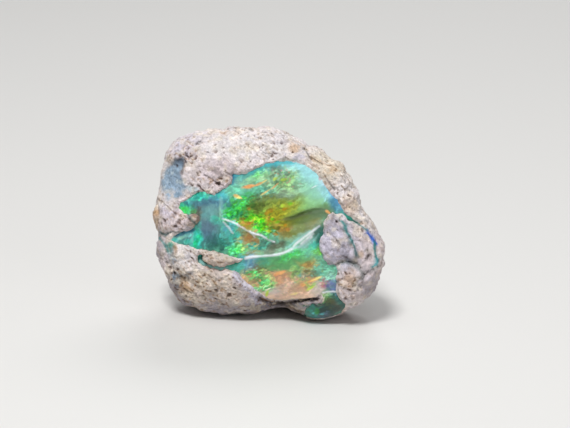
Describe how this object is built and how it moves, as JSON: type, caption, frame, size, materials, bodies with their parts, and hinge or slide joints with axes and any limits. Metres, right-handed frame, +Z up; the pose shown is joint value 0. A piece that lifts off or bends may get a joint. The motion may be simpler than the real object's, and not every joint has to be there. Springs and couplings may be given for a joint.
{
  "type": "rough opal",
  "caption": "Rough opal nodule broken open on one side: a glassy, chipped opal window in a pale pitted rock rind, standing on its lower edge.",
  "frame": {"origin": "under the middle of the nodule's box, on the surface that it stands on", "axes": "+Z up as it stands, +X to the right across the broken face, and the broken face looks towards -Y and a little up"},
  "size_m": [0.0304, 0.0162, 0.0244],
  "materials": {
    "rhyolite": "matte",
    "opal": "gloss"
  },
  "bodies": {
    "root": {"matrix": "rhyolite", "opal": "opal"}
  },
  "joints": []
}
